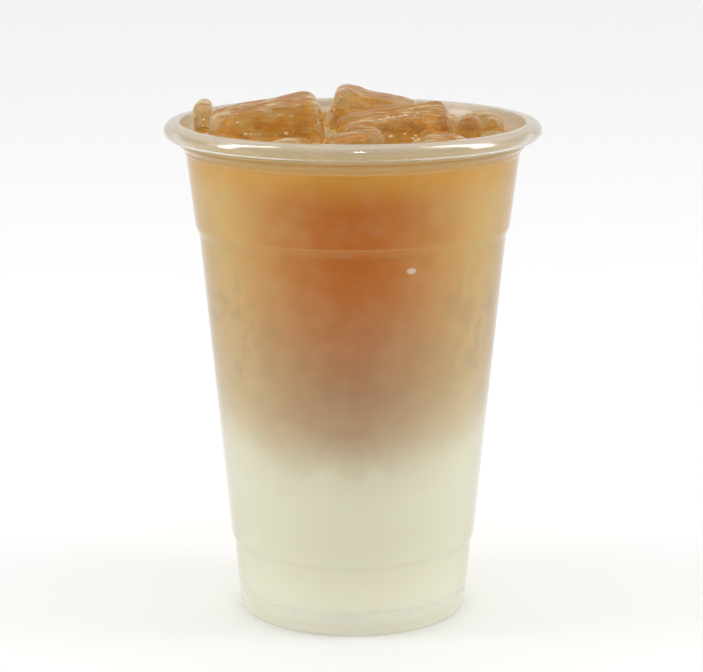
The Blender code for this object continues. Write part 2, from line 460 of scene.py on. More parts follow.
def wet_ice(ice):
    """Half-melted ice, glassy and wet, stained amber by the tea, with cloudy veins; its ridges and tops carry
    painted shade and highlights.
    """
    material, nodes = new_material("wet_ice")
    place = nodes.coordinates()
    veins = nodes.noise(place, 5.0 * MM, detail=4.0, roughness=0.6, distortion=1.2)
    ripple = nodes.noise(place, 2.6 * MM, detail=3.0)
    drawn_out = nodes.vector_math("MULTIPLY", {0: place, 1: STREAK_DRAW})
    streaks = nodes.noise(drawn_out, 1.1 * MM, detail=3.0, distortion=0.5)
    light_streak = streaks.between(0.52, 0.66) * ice.streaks
    dark_streak = (1.0 - streaks.between(0.34, 0.48)) * ice.streaks
    ridge = nodes.add("ShaderNodeAttribute", {"attribute_name": RIDGE_MARK}, output="Fac")
    tone = nodes.add("ShaderNodeAttribute", {"attribute_name": TONE_MARK}, output="Fac")
    # Painted shade and highlights: dark lines along the ridges, as strong as each piece's tone, pale lines
    # along the rest
    shaded_ridge = ridge.between(0.28, 0.55) * tone
    ridge_highlight = ridge.between(0.36, 0.6) * veins.between(0.25, 0.5) * (1.0 - tone)
    normal = nodes.bump(ripple, 0.35 * MM, 0.9)
    up = nodes.axes(nodes.add("ShaderNodeNewGeometry", output="Normal"))[2].between(0.45, 0.9)
    along = nodes.add("ShaderNodeLayerWeight", {}, {"Blend": 0.5}, "Facing").between(0.35, 0.7)
    body = nodes.blend(veins.between(0.35, 0.7), rgb(ice.deep_colour), rgb(ice.pale_colour))
    body = nodes.blend(dark_streak, body, rgb(ice.stain_colour))
    glassy = {
        "Base Color": nodes.blend(shaded_ridge, body, rgb(ice.streak_and_shade_colour)),
        "Roughness": 0.03 + 0.10 * ripple,
        "IOR": 1.22,
        "Transmission Weight": 1.0,
        "Normal": normal,
    }
    clear = nodes.principled(glassy)
    # Painted shade: the ice's tops, seen along them, are painted a darker amber
    stain_and_painted_light = nodes.blend(up * along, rgb(ice.stain_colour), rgb(ice.shaded_top_colour))
    stain_and_painted_light = nodes.blend(ridge_highlight.or_else(light_streak), stain_and_painted_light, rgb(ice.streak_and_highlight_colour))
    stain_and_painted_light = nodes.blend(dark_streak * 0.45, stain_and_painted_light, rgb(ice.streak_and_shade_colour))
    stained = {
        "Base Color": nodes.blend(shaded_ridge, stain_and_painted_light, rgb(ice.streak_and_shade_colour)),
        "Roughness": 0.25,
        "IOR": 1.33,
        "Specular IOR Level": 0.05,
        "Normal": normal,
    }
    cloudy = nodes.principled(stained)
    # Painted shade: seen along it, the top of the ice takes more of its darker top colour and less reflection
    # of the sky
    skin = up * (0.25 + 0.75 * along) * ice.top_shade_cloud
    cloud = (ice.haze + ice.cloud * veins.between(0.4, 0.75)).or_else(skin)
    # The cloud also carries the painted shade and highlights of the ridges
    cloud = cloud.or_else(0.5 * ridge_highlight).or_else(shaded_ridge).or_else(0.6 * light_streak)
    shader = nodes.mixed(cloud, clear, cloudy)
    nodes.surface(nodes.lamps_through(shader, ice.pale_colour))
    return material


def film_of_air(bubbles):
    """The skin of a bubble: bright, thin and clear."""
    material, nodes = new_material("bubble_film")
    skin = {
        # Pale, so the bubbles set where the ice glints also stand in for its glints, as painted highlights
        "Base Color": rgb(bubbles.colour),
        "Roughness": 0.08,
        "IOR": 1.33,
        "Transmission Weight": 0.6,
    }
    film = nodes.principled(skin)
    nodes.surface(nodes.lamps_through(film, bubbles.colour))
    return material


def matte_floor(stage):
    """The plain pale floor."""
    material, nodes = new_material("pale_floor")
    paint = {"Base Color": rgb(stage.floor_colour), "Roughness": 0.9}
    nodes.surface(nodes.principled(paint))
    return material


def arc(centre, radius, first, last, steps=ARC_STEPS):
    """Points along an arc, as (radius from the axis, height), with angles in degrees from +X."""
    angles = [math.radians(first + (last - first) * i / steps) for i in range(steps + 1)]
    return [(centre[0] + radius * math.cos(a), centre[1] + radius * math.sin(a)) for a in angles]


def eased(corners, reach=WALL_REACH):
    """An outline whose inner corners are rounded, each over this length on both sides."""
    points = [Vector(corner) for corner in corners]
    outline = [points[0]]
    for before, corner, after in zip(points, points[1:], points[2:]):
        start = corner + (before - corner).normalized() * min(reach, (before - corner).length / 2)
        end = corner + (after - corner).normalized() * min(reach, (after - corner).length / 2)
        for i in range(CORNER_STEPS + 1):
            t = i / CORNER_STEPS
            outline.append(start * (1 - t) ** 2 + corner * 2 * t * (1 - t) + end * t * t)
    return [tuple(point) for point in outline + [points[-1]]]


def inset(point, distance):
    """The same station of the section, nearer the axis."""
    return point[0] - distance, point[1]


def wall_stations():
    """The outside of the wall from the throat to the foot, top to bottom."""
    throat = (THROAT_RADIUS, CUP_HEIGHT - THROAT_DROP)
    steps = [SHOULDER_TOP, SHOULDER_FOOT, WAIST_TOP, WAIST_FOOT, HEEL_TOP, HEEL_FOOT]
    return [throat] + steps + [(FOOT_RADIUS, FOOT_ROUND)]


def outer_radius(height):
    """The wall's outside radius at a height below the throat."""
    stations = wall_stations()
    for (r_high, z_high), (r_low, z_low) in zip(stations, stations[1:]):
        if z_low <= height <= z_high:
            return r_low + (r_high - r_low) * (height - z_low) / (z_high - z_low)
    return THROAT_RADIUS


def sweep_arc(offset, first, last, steps=ARC_STEPS):
    """Part of the arc that the wall follows from the throat to the lip, an offset inside its outer face."""
    centre = (THROAT_RADIUS + SWEEP_RADIUS, CUP_HEIGHT - THROAT_DROP)
    return arc(centre, SWEEP_RADIUS + offset, first, last, steps)


def sweep_turn(radius, offset):
    """The angle on that arc, in degrees, where it has this radius from the cup's axis."""
    return math.degrees(math.acos((radius - THROAT_RADIUS - SWEEP_RADIUS) / (SWEEP_RADIUS + offset)))


def sweep_reach(height, offset):
    """The radius from the cup's axis of that arc at a height."""
    above = height - (CUP_HEIGHT - THROAT_DROP)
    return THROAT_RADIUS + SWEEP_RADIUS - math.sqrt((SWEEP_RADIUS + offset) ** 2 - above ** 2)


def floor_corner(wall, into):
    """The rounded corner inside the cup, from the floor out to the wall, a little into the plastic."""
    height = FOOT_RECESS + FLOOR - into
    radius = FLOOR_CORNER + into
    side = outer_radius(height + radius) - wall + into
    return arc((side - radius, height + radius), radius, -90, 0)


def ridged(points):
    """The outside of the throat with its fine ridge, from points that run down past it."""
    above = [p for p in points if p[1] > RIDGE_HEIGHT + RIDGE_HALF]
    below = [p for p in points if p[1] < RIDGE_HEIGHT - RIDGE_HALF]
    ridge = []
    for side, lift in RIDGE_SHAPE:
        height = RIDGE_HEIGHT + side * RIDGE_HALF
        ridge.append((sweep_reach(height, 0.0) + lift * RIDGE_RISE, height))
    return above + ridge + below


def cup_section(wall):
    """The cup's section: from the middle of its floor up the inside, round the lip, and down outside."""
    corner = floor_corner(wall, 0.0)
    stations = [inset(p, wall) for p in reversed(wall_stations()) if p[1] > corner[-1][1]]
    inside = [(0.0, FOOT_RECESS + FLOOR)] + corner[:-1] + eased([*corner[-2:], *stations])[1:-1]
    inside += sweep_arc(wall, 180, sweep_turn(MOUTH_RADIUS, wall))
    roll = (MOUTH_RADIUS + MOUTH_ROLL, CUP_HEIGHT - MOUTH_ROLL)
    bead = (LIP_RADIUS - BEAD_RADIUS, CUP_HEIGHT - BEAD_RADIUS)
    lip = arc(roll, MOUTH_ROLL, 180, 90, CORNER_STEPS) + arc(bead, BEAD_RADIUS, 90, BEAD_END)
    hollow = arc(bead, BEAD_RADIUS - LIP_SHEET, BEAD_END, 180, 2 * ARC_STEPS)
    outside = ridged(sweep_arc(0.0, sweep_turn(hollow[-1][0], 0.0), 180))
    outside += eased(wall_stations(), WALL_REACH)[1:-1]
    foot = arc((FOOT_RADIUS - FOOT_ROUND, FOOT_ROUND), FOOT_ROUND, 0, -90)
    ring = FOOT_RADIUS - FOOT_ROUND - FOOT_RING
    recess = [(ring, 0.0), (ring - RECESS_SLOPE, FOOT_RECESS), (0.0, FOOT_RECESS)]
    return inside + lip + hollow + outside + foot[:-1] + eased([foot[-1], *recess], RECESS_REACH)


def drink_section(wall, into):
    """The drink's section, from the middle of its top to the middle of its bottom, a little into the wall."""
    level = TEA_TOP - DRINK_RISE
    edge = sweep_reach(level, wall - into)
    rings = [edge * i / SURFACE_RINGS for i in range(SURFACE_RINGS)]
    top = [(r, level + DRINK_RISE * math.exp((r - edge) / MENISCUS_WIDTH)) for r in rings]
    top.append((sweep_reach(TEA_TOP, wall - into), TEA_TOP))
    neck = sweep_arc(wall - into, sweep_turn(edge, wall - into), 180, ARC_STEPS // 2)
    corner = floor_corner(wall, into)
    low = corner[-1][1]
    stations = [inset(p, wall - into) for p in wall_stations() if p[1] > low]
    walls = eased([*stations, corner[-1]], WALL_REACH)[1:]
    return top + neck + walls + corner[::-1][1:] + [(0.0, corner[0][1])]


def geometry_tree(name, inputs):
    """An empty geometry tree with these inputs, each given as socket type and default."""
    tree = bpy.data.node_groups.new(name, "GeometryNodeTree")
    tree.is_modifier = True
    tree.interface.new_socket("Geometry", in_out="INPUT", socket_type="NodeSocketGeometry")
    tree.interface.new_socket("Geometry", in_out="OUTPUT", socket_type="NodeSocketGeometry")
    for label, (kind, default) in inputs.items():
        socket = tree.interface.new_socket(label, in_out="INPUT", socket_type=kind)
        if default is not None:
            socket.default_value = default
    return tree


def add_tree(target, tree, values):
    """Puts a geometry tree on an object and sets its inputs by their identifiers."""
    modifier = target.modifiers.new(tree.name, "NODES")
    modifier.node_group = tree
    for item in tree.interface.items_tree:
        if item.in_out == "INPUT" and item.name in values:
            modifier[item.identifier] = values[item.name]
    return modifier


def group_input(nodes):
    """The group's inputs by name."""
    node = nodes.tree.nodes.new("NodeGroupInput")
    return {s.name: Socket(nodes, s) for s in node.outputs if s.name}


def finish_tree(nodes, geometry, finish):
    """Ends a geometry tree: smooth shading, real geometry and its material."""
    smooth = nodes.add("GeometryNodeSetShadeSmooth", {}, {"Geometry": geometry})
    real = nodes.add("GeometryNodeRealizeInstances", {}, {"Geometry": smooth})
    painted = nodes.add("GeometryNodeSetMaterial", {}, {"Geometry": real, "Material": finish})
    end = nodes.tree.nodes.new("NodeGroupOutput")
    nodes.tree.links.new(painted.output, end.inputs["Geometry"])


def turning_tree():
    """Turns a section, a row of points at +X, once about the Z axis into a closed skin."""
    inputs = {
        "Steps": ("NodeSocketInt", TURN_STEPS),
        "Weld": ("NodeSocketFloat", WELD),
        "Finish": ("NodeSocketMaterial", None),
    }
    tree = geometry_tree("turned_section", inputs)
    nodes = Nodes(tree)
    given = group_input(nodes)
    section = given["Geometry"]
    count = nodes.add("GeometryNodeAttributeDomainSize", {}, {"Geometry": section}, "Point Count")
    sides = {"Vertices X": given["Steps"] + 1, "Vertices Y": count}
    grid = nodes.add("GeometryNodeMeshGrid", {}, sides, "Mesh")
    index = nodes.add("GeometryNodeInputIndex")
    row = index.math("MODULO", index, count)
    turn = (index - row) / count
    place = nodes.add("GeometryNodeInputPosition")
    point = nodes.add(
        "GeometryNodeSampleIndex",
        {"data_type": "FLOAT_VECTOR"},
        {"Geometry": section, "Value": place, "Index": row},
    )
    angle = turn / given["Steps"] * math.tau
    about = {"rotation_type": "Z_AXIS"}
    turned = nodes.add("ShaderNodeVectorRotate", about, {"Vector": point, "Angle": angle})
    skin = nodes.add("GeometryNodeSetPosition", {}, {"Geometry": grid, "Position": turned})
    welded = nodes.add("GeometryNodeMergeByDistance", {}, {"Geometry": skin, "Distance": given["Weld"]})
    finish_tree(nodes, welded, given["Finish"])
    return tree


def melting_tree():
    """Dents and ripples a piece of ice along its normals, then marks its ridges and tone for the material."""
    inputs = {
        "Dent size": ("NodeSocketFloat", 9.0 * MM),
        "Dent depth": ("NodeSocketFloat", 1.6 * MM),
        "Ripple size": ("NodeSocketFloat", 3.2 * MM),
        "Ripple depth": ("NodeSocketFloat", 0.4 * MM),
        "Seed": ("NodeSocketFloat", 0.0),
        "Tone": ("NodeSocketFloat", 0.0),
        "Finish": ("NodeSocketMaterial", None),
    }
    tree = geometry_tree("melted_surface", inputs)
    nodes = Nodes(tree)
    given = group_input(nodes)
    normal = nodes.add("GeometryNodeInputNormal")
    push = None
    for label in ("Dent", "Ripple"):
        waves = nodes.add(
            "ShaderNodeTexNoise",
            {"noise_dimensions": "4D"},
            {"Scale": 1.0 / given[label + " size"], "W": given["Seed"], "Detail": 1.0},
        )
        lift = (waves - 0.5) * given[label + " depth"]
        push = lift if push is None else push + lift
    offset = nodes.vector_math("SCALE", {"Vector": normal, "Scale": push})
    melted = nodes.add("GeometryNodeSetPosition", {}, {"Geometry": given["Geometry"], "Offset": offset})
    place = nodes.add("GeometryNodeInputPosition")
    smooth = {"Value": place, "Iterations": RIDGE_BLUR}
    blurred = nodes.add("GeometryNodeBlurAttribute", {"data_type": "FLOAT_VECTOR"}, smooth)
    rise = nodes.vector_math("SUBTRACT", {0: place, 1: blurred})
    height = nodes.vector_math("DOT_PRODUCT", {0: rise, 1: normal}, "Value")
    for mark, value in ((RIDGE_MARK, height / RIDGE_SCALE), (TONE_MARK, given["Tone"])):
        stored = {"Geometry": melted, "Name": mark, "Value": value}
        melted = nodes.add("GeometryNodeStoreNamedAttribute", {}, stored)
    finish_tree(nodes, melted, given["Finish"])
    return tree


def wetting_tree():
    """Draws the drink's top up a little wherever it meets the ice, given as an object."""
    inputs = {
        "Ice": ("NodeSocketObject", None),
        "Level": ("NodeSocketFloat", 0.12),
        "Rise": ("NodeSocketFloat", 0.5 * MM),
        "Width": ("NodeSocketFloat", 0.8 * MM),
        "Finish": ("NodeSocketMaterial", None),
    }
    tree = geometry_tree("wetted_surface", inputs)
    nodes = Nodes(tree)
    given = group_input(nodes)
    ice = nodes.surface_of(given["Ice"])
    distance = nodes.add("GeometryNodeProximity", {"target_element": "FACES"}, {0: ice}, "Distance")
    x, y, z = nodes.axes(nodes.add("GeometryNodeInputPosition"))
    free = z.math("GREATER_THAN", z, given["Level"] - 0.1 * MM)
    lift = free * given["Rise"] / 2.0 ** (distance / given["Width"])
    offset = nodes.add("ShaderNodeCombineXYZ", {}, {"Z": lift})
    wetted = nodes.add("GeometryNodeSetPosition", {}, {"Geometry": given["Geometry"], "Offset": offset})
    finish_tree(nodes, wetted, given["Finish"])
    return tree


def bubble_tree():
    """Strews a row of small flat bubbles, each of its own size, over the surface of an object."""
    inputs = {
        "On": ("NodeSocketObject", None),
        "Start": ("NodeSocketVector", (0.0, 0.0, 0.0)),
        "End": ("NodeSocketVector", (0.0, 0.0, 0.0)),
        "Count": ("NodeSocketInt", 8),
        "Spread": ("NodeSocketFloat", 1.0 * MM),
        "Smallest": ("NodeSocketFloat", 0.2 * MM),
        "Largest": ("NodeSocketFloat", 0.5 * MM),
        "Seed": ("NodeSocketInt", 3),
        "Finish": ("NodeSocketMaterial", None),
    }
    tree = geometry_tree("strewn_bubbles", inputs)
    nodes = Nodes(tree)
    given = group_input(nodes)
    whole = nodes.add("GeometryNodeInputIndex") / (given["Count"] - 1.0)
    row = nodes.add("GeometryNodePoints", {}, {"Count": given["Count"]})
    path = nodes.add(
        "ShaderNodeMix",
        {"data_type": "VECTOR"},
        {"Factor": whole, "A": given["Start"], "B": given["End"]},
        "Result",
    )
    aside = nodes.add(
        "FunctionNodeRandomValue",
        {"data_type": "FLOAT_VECTOR"},
        {"Min": (-1.0, -1.0, -1.0), "Max": (1.0, 1.0, 1.0), "Seed": given["Seed"]},
        "Value",
    )
    shift = nodes.vector_math("SCALE", {"Vector": aside, "Scale": given["Spread"]})
    spots = nodes.add("GeometryNodeSetPosition", {}, {"Geometry": row, "Position": path, "Offset": shift})
    surface = nodes.surface_of(given["On"])
    nearest = nodes.add("GeometryNodeProximity", {"target_element": "FACES"}, {0: surface}, "Position")
    landed = nodes.add("GeometryNodeSetPosition", {}, {"Geometry": spots, "Position": nearest})
    size = nodes.add(
        "FunctionNodeRandomValue",
        {"data_type": "FLOAT"},
        {"Min": given["Smallest"], "Max": given["Largest"], "Seed": given["Seed"] + 1},
        "Value",
    )
    flat = nodes.add("ShaderNodeCombineXYZ", {}, {"X": size, "Y": size, "Z": size * 0.6})
    ball = nodes.add("GeometryNodeMeshIcoSphere", {}, {"Radius": 1.0, "Subdivisions": 3}, "Mesh")
    balls = {"Points": landed, "Instance": ball, "Scale": flat}
    placed = nodes.add("GeometryNodeInstanceOnPoints", {}, balls)
    finish_tree(nodes, placed, given["Finish"])
    return tree


def new_object(name, mesh):
    made = bpy.data.objects.new(name, mesh)
    bpy.context.scene.collection.objects.link(made)
    return made


def points_mesh(name, points, joined=False):
    """A mesh of bare points, joined in a row if asked."""
    mesh = bpy.data.meshes.new(name)
    edges = [(i, i + 1) for i in range(len(points) - 1)] if joined else []
    mesh.from_pydata(points, edges, [])
    return mesh


def made_plain(source):
    """Replaces an object's mesh by what its modifiers make of it, and takes the modifiers off."""
    depsgraph = bpy.context.evaluated_depsgraph_get()
    mesh = bpy.data.meshes.new_from_object(source.evaluated_get(depsgraph))
    source.modifiers.clear()
    old = source.data
    source.data = mesh
    bpy.data.meshes.remove(old)
    return source


def finished_mesh(name, shape):
    """A new mesh from a shape under construction, which is freed."""
    mesh = bpy.data.meshes.new(name)
    shape.to_mesh(mesh)
    shape.free()
    return mesh


def add_voxels(target, size):
    """Remeshes an object into voxels of this size."""
    voxels = target.modifiers.new("voxels", "REMESH")
    voxels.mode = "VOXEL"
    voxels.voxel_size = size


def face_out(mesh):
    """Turns a closed mesh's faces outwards if they all point in."""
    shape = bmesh.new()
    shape.from_mesh(mesh)
    if shape.calc_volume(signed=True) < 0:
        bmesh.ops.reverse_faces(shape, faces=shape.faces)
        shape.to_mesh(mesh)
    shape.free()


def turned(name, section, finish):
    """A round piece: the section turned about the Z axis."""
    row = points_mesh(name, [(r, 0.0, z) for r, z in section], joined=True)
    piece = new_object(name, row)
    add_tree(piece, turning_tree(), {"Steps": TURN_STEPS, "Weld": WELD, "Finish": finish})
    made_plain(piece)
    face_out(piece.data)
    return piece


def dress(piece, slot, *nodes):
    """Hands a finished piece to the frame: what it rides on, and hides the frame's parts that it stands for.
    The slot is not used.
    """
    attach(piece, BODY)
    if nodes:
        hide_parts(*nodes)


def ice_piece_name(node):
    return "melted_" + node


def melted_piece(node, number, ice, tree, finish):
    """One piece of ice, from a merged copy of its solid: remeshed, worn smooth, then dented and rippled."""
    shape = bmesh.new()
    shape.from_mesh(frame["nodes"][node].data)
    bmesh.ops.remove_doubles(shape, verts=shape.verts, dist=WELD)
    name = ice_piece_name(node)
    piece = new_object(name, finished_mesh(name, shape))
    add_voxels(piece, ICE_VOXEL)
    worn = piece.modifiers.new("worn", "SMOOTH")
    worn.factor = 0.5
    worn.iterations = ice.wear
    values = {
        "Dent size": ice.dent_size,
        "Dent depth": ice.dent_depth,
        "Ripple size": ice.ripple_size,
        "Ripple depth": ice.ripple_depth,
        "Seed": float(ice.seed + number),
        "Tone": SHADED_RIDGES.get(node, USUAL_RIDGE_SHADE),
        "Finish": finish,
    }
    add_tree(piece, tree, values)
    return made_plain(piece)


def ice_pieces():
    return [bpy.data.objects[ice_piece_name(node)] for node in ICE_NODES]


def whole_heap():
    """One object with copies of all the ice's meshes."""
    shape = bmesh.new()
    for piece in ice_pieces():
        shape.from_mesh(piece.data)
    return new_object("ice_heap", finished_mesh("ice_heap", shape))


def remove_object(target):
    mesh = target.data
    bpy.data.objects.remove(target)
    bpy.data.meshes.remove(mesh)


def cut_pockets(drink):
    """Cuts the drink round each piece of ice, a little inside it, so that no air shows between them."""
    cutters = []
    for number, piece in enumerate(ice_pieces()):
        cutter = new_object(f"pocket_{number}", piece.data.copy())
        add_voxels(cutter, POCKET_VOXEL)
        shrunk = cutter.modifiers.new("shrunk", "DISPLACE")
        shrunk.mid_level = 0.0
        shrunk.strength = -POCKET_INSET
        cutters.append(made_plain(cutter))
    for cutter in cutters:
        pocket = drink.modifiers.new(cutter.name, "BOOLEAN")
        pocket.operation = "DIFFERENCE"
        pocket.solver = "MANIFOLD"
        pocket.object = cutter
    made_plain(drink)
    drink.data.set_sharp_from_angle(angle=math.radians(40.0))
    for cutter in cutters:
        remove_object(cutter)


def wall_bubble(name, height, bearing, half_width, half_height, half_depth, wall, finish):
    """An air bubble pressed flat against the inside of the wall."""
    shape = bmesh.new()
    bmesh.ops.create_icosphere(shape, subdivisions=4, radius=1.0)
    cosine = math.cos(math.radians(bearing))
    sine = math.sin(math.radians(bearing))
    reach = outer_radius(height) - wall + BUBBLE_INTO - half_depth
    for vert in shape.verts:
        x, y, z = vert.co
        side = x * half_width
        out = reach - y * half_depth
        vert.co = (side * cosine + out * sine, side * sine - out * cosine, height + z * half_height)
    for face in shape.faces:
        face.smooth = True
    mesh = finished_mesh(name, shape)
    mesh.materials.append(finish)
    return new_object(name, mesh)


def size_setting(name, description, default, low=0.0):
    """A length that a user may change."""
    return FloatProperty(name=name, description=description, default=default, min=low, unit="LENGTH")


def share_setting(name, description, default):
    """A strength from 0 to 1 that a user may change."""
    ends = {"min": 0.0, "max": 1.0}
    return FloatProperty(name=name, description=description, default=default, subtype="FACTOR", **ends)


def colour_setting(name, description, default):
    """A colour that a user may change."""
    return FloatVectorProperty(name=name, description=description, default=default, subtype="COLOR")


class CupSettings(bpy.types.PropertyGroup):
    """Sizes and colours of the cup."""

    wall: size_setting("Wall", "Thickness of the cup's wall", 0.8 * MM, 0.3 * MM)
    tint: colour_setting("Tint", "Colour of light that passes the plastic", (0.97, 0.97, 0.95))
    edge_tint: colour_setting(
        "Edge tint", "Colour of light that passes the plastic edge on", (0.71, 0.645, 0.63)
    )
    film: share_setting("Tea film", "How much tea clings to the wall above the drink", 0.8)
    film_colour: colour_setting("Film colour", "Colour of the tea that clings there", (0.52, 0.345, 0.13))
    edge_haze: share_setting("Edge haze", "How cloudy the wall is, seen edge on", 0.33)
    haze_start: share_setting("Haze start", "How far from face on the wall is where its haze starts", 0.06)
    edge_shade: share_setting("Edge shade", "How much the haze darkens towards the silhouette", 0.45)
    # Painted highlight: how strongly the pale ridge and shoulder lines are painted
    seam_highlight_cloud: share_setting("Seam cloud", "How cloudy the ridge and the shoulder are", 0.20)
    lip_cloud: share_setting("Lip cloud", "How cloudy the thick lip is", 0.4)
    foot_cloud: share_setting("Foot cloud", "How cloudy the thick foot is", 0.85)
    # Painted shade and painted light: the shade that the haze darkens to at the silhouette, and the drink's
    # light painted into the cloud beside the milk, beside the tea, in the foot and in the lip
    shade: colour_setting("Shade", "Colour that the haze darkens to", (0.16, 0.10, 0.04))
    milk_lit_haze: colour_setting("Haze over milk", "Colour of the cloud beside the milk", (0.68, 0.70, 0.59))
    tea_lit_haze: colour_setting("Haze over tea", "Colour of the cloud beside the tea", (0.62, 0.52, 0.24))
    milk_lit_foot_haze: colour_setting("Haze of the foot", "Colour of the cloud in the foot", (0.84, 0.81, 0.65))
    tea_lit_lip_haze: colour_setting("Haze of the lip", "Colour of the cloud in the lip", (0.57, 0.475, 0.33))


class DrinkSettings(bpy.types.PropertyGroup):
    """Levels and colours of the milk and the tea."""

    into: size_setting("Into the wall", "How far the drink reaches into the plastic", 0.45 * MM)
    fade_low: size_setting("Fade starts", "Height where the milk starts to turn", 34.0 * MM)
    fade_high: size_setting("Fade ends", "Height where the tea is pure", 94.0 * MM)
    side_rise: size_setting("Side rise", "How much higher the milk stands at the sides", 14.0 * MM)
    wisps: size_setting("Wisps", "How far the layers wander up and down", 10.0 * MM)
    milk_colour: colour_setting("Milk", "Colour of the milk", (0.79, 0.775, 0.61))
    foot_colour: colour_setting("Low milk", "Colour of the milk at the bottom", (0.90, 0.88, 0.72))
    milk_scatter: FloatVectorProperty(
        name="Milk scatter",
        description="How far red, green and blue light spread in milk",
        default=(1.0, 0.9, 0.7),
    )
    milk_depth: size_setting("Milk depth", "How far light spreads in the milk", 12.0 * MM)
    tea_colour: colour_setting("Tea", "Colour of the tea", (0.65, 0.41, 0.125))
    side_colour: colour_setting(
        "Tea at the sides", "Colour of the tea low at the sides", (0.56, 0.345, 0.115)
    )
    # Painted shade: the deep and low tea colours fill the plumes of painted shade
    deep_colour: colour_setting(
        "Deep tea", "Colour of the tea where it holds the least milk", (0.52, 0.148, 0.003)
    )
    low_colour: colour_setting("Low tea", "Colour of the tea just above the milk", (0.37, 0.12, 0.003))
    high_colour: colour_setting("High tea", "Colour of the tea just under the rim", (0.66, 0.34, 0.035))
    top_colour: colour_setting("Top tea", "Colour of the tea's surface", (0.56, 0.31, 0.08))
    edge_colour: colour_setting("Tea's edge", "Colour of the tea where it wets the wall", (0.53, 0.29, 0.08))
    wetting: size_setting("Wetting", "How far the tea climbs up the ice", 0.5 * MM)
    wetting_width: size_setting("Wetting width", "Distance over which that climb halves", 0.7 * MM)
    tea_scatter: FloatVectorProperty(
        name="Tea scatter",
        description="How far red, green and blue light spread in tea",
        default=(1.0, 0.6, 0.3),
    )
    tea_depth: size_setting("Tea depth", "How far light spreads in the tea", 4.5 * MM)
    clouds: FloatProperty(
        name="Clouds", description="How much milk drifts in the tea", default=0.5, min=0.0, max=4.0
    )
    murk: FloatProperty(
        name="Murk", description="How patchy the tea is at the sides", default=3.6, min=0.0, max=6.0
    )
    murk_colour: colour_setting("Murk colour", "Colour of those patches", (0.37, 0.23, 0.09))
    cloud_colour: colour_setting(
        "Cloud colour", "Colour of the milk that drifts in the tea", (0.74, 0.55, 0.30)
    )


class IceSettings(bpy.types.PropertyGroup):
    """Wear and colours of the ice."""

    wear: IntProperty(name="Wear", description="How rounded the ice has melted", default=6, min=0, max=40)
    dent_size: size_setting("Dent size", "Width of the dents", 9.0 * MM)
    dent_depth: size_setting("Dent depth", "Depth of the dents", 2.2 * MM)
    ripple_size: size_setting("Ripple size", "Width of the ripples", 3.0 * MM)
    ripple_depth: size_setting("Ripple depth", "Depth of the ripples", 0.45 * MM)
    seed: IntProperty(name="Seed", description="Draws other dents and ripples", default=4)
    haze: share_setting("Haze", "How cloudy the ice is all over", 0.2)
    cloud: share_setting("Cloud", "How much cloudier its veins are", 0.3)
    # Painted shade on the ice's tops: how much of it shows, seen along them
    top_shade_cloud: share_setting("Cloud on top", "How cloudy the ice's top is, seen along it", 0.92)
    streaks: share_setting("Streaks", "How strong the fine streaks are", 0.7)
    deep_colour: colour_setting("Deep", "Colour of light that passes the deepest ice", (0.93, 0.66, 0.28))
    pale_colour: colour_setting("Pale", "Colour of light that passes the palest ice", (0.95, 0.81, 0.54))
    # Painted shade and painted highlights along the ridges; the same two colours also draw the dark and pale
    # streaks
    streak_and_shade_colour: colour_setting("Dark lines", "Colour of the dark ridges", (0.30, 0.10, 0.016))
    streak_and_highlight_colour: colour_setting("Pale lines", "Colour of the pale ridges", (0.68, 0.57, 0.33))
    stain_colour: colour_setting("Stain", "Colour of the cloudy ice", (0.61, 0.32, 0.075))
    # Painted shade: the darker colour of the ice's tops, seen along them
    shaded_top_colour: colour_setting("Stain on top", "Colour of the ice's top, seen along it", (0.41, 0.19, 0.042))


class BubbleSettings(bpy.types.PropertyGroup):
    """Size and colour of the bubbles."""

    size: FloatProperty(
        name="Size", description="Scale of the bubbles across", default=1.0, min=0.1, max=3.0
    )
    half_depth: size_setting("Half depth", "Half of how far a bubble stands out", 0.35 * MM)
    smallest: size_setting("Smallest", "Radius of the smallest bubble on the ice", 0.18 * MM)
    largest: size_setting("Largest", "Radius of the largest bubble on the ice", 0.6 * MM)
    spread: size_setting("Spread", "How far the bubbles stray from their row", 0.9 * MM)
    seed: IntProperty(name="Seed", description="Draws other places and sizes", default=3)
    colour: colour_setting("Film", "Colour of the bubbles' skin", (0.95, 0.90, 0.80))


class StageSettings(bpy.types.PropertyGroup):
    """The floor, the lights and the camera."""

    floor_size: size_setting("Floor", "Width of the floor", 8.0)
    floor_colour: colour_setting("Floor colour", "Colour of the floor", (0.90, 0.90, 0.90))
    sky: FloatProperty(name="Sky", description="Brightness of the light overhead", default=1.15)
    backdrop: FloatProperty(
        name="Backdrop", description="Brightness of the room behind the cup", default=0.9
    )
    horizon: FloatProperty(name="Horizon", description="Brightness of the room round the cup", default=0.20)
    lens: FloatProperty(name="Lens", description="Focal length of the camera, in mm", default=121.4)
    distance: size_setting("Distance", "From the cup's axis to the camera", 0.5935)
    height: size_setting("Height", "Height of the camera", 0.2054)
    tilt: FloatProperty(
        name="Tilt", description="How far the camera looks down", default=math.radians(12.74), unit="ROTATION"
    )


# The soft lights: direction from the front and up, in degrees, distance, width and height in metres, watts
LIGHTS = {
    "left_softbox": (-84, 22, 0.9, 0.35, 0.8, 1.7),
    "right_softbox": (86, 22, 0.9, 0.35, 0.8, 1.7),
}

# The same for lights that show only as highlights
GLINTS = {
    "left_strip": (-80, 32, 0.9, 0.20, 1.1, 11.0),
    "right_strip": (83, 32, 0.9, 0.30, 1.1, 15.0),
    "front_window": (4, 34, 1.6, 0.12, 0.12, 6.0),
}
AIM = Vector((0.0, 0.0, 0.075))

# The camera's sensor in mm, the frame's width in pixels, and how far right of its middle the cup stands
SENSOR_WIDTH = 36.0
FRAME_WIDTH = 703
AXIS_RIGHT = 1.3


